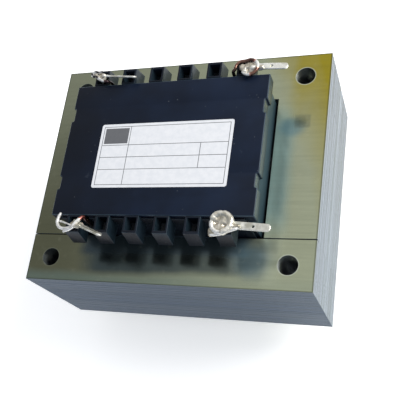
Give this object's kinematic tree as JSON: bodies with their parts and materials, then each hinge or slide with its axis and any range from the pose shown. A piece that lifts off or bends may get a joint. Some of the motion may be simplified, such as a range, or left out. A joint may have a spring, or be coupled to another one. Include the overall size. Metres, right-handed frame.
{
  "type": "laminated chassis transformer",
  "caption": "Open-frame mains transformer: stacked E and I laminations with corner mounting holes, a covered winding and rows of terminal blocks with solder lugs.",
  "frame": {"origin": "centre of the bounding box's footprint, on the outer face of the rear cover that the part rests on", "axes": "+Z leaves the label face, +X runs along the long side of the core, +Y points to the end away from the front layer's joint line"},
  "size_m": [0.105, 0.0874, 0.083],
  "materials": {
    "lamination_steel": "varnished silicon steel sheet, olive grey",
    "bobbin_plastic": "glass-filled nylon, satin blue-black",
    "cover_plastic": "glass-filled nylon, satin blue-black",
    "enamelled_copper": "enamelled copper winding wire, tinned at the ends",
    "insulation_tape": "polyester insulation film",
    "label_film": null,
    "tinned_lug": "tinned brass",
    "solder": "bright tin solder"
  },
  "bodies": {
    "root": {"e_laminations_a": "lamination_steel", "i_laminations_a": "lamination_steel", "e_laminations_b": "lamination_steel", "i_laminations_b": "lamination_steel", "bobbin": "bobbin_plastic", "primary_winding": "enamelled_copper", "interwinding_insulation": "insulation_tape", "secondary_winding": "enamelled_copper", "outer_insulation": "insulation_tape", "front_cover": "cover_plastic", "rear_cover": "cover_plastic", "rating_label": "label_film", "primary_lug_1": "tinned_lug", "primary_lug_2": "tinned_lug", "secondary_lug_1": "tinned_lug", "secondary_lug_2": "tinned_lug", "primary_solder_1": "solder", "primary_solder_2": "solder", "secondary_solder_1": "solder", "secondary_solder_2": "solder"}
  },
  "joints": []
}
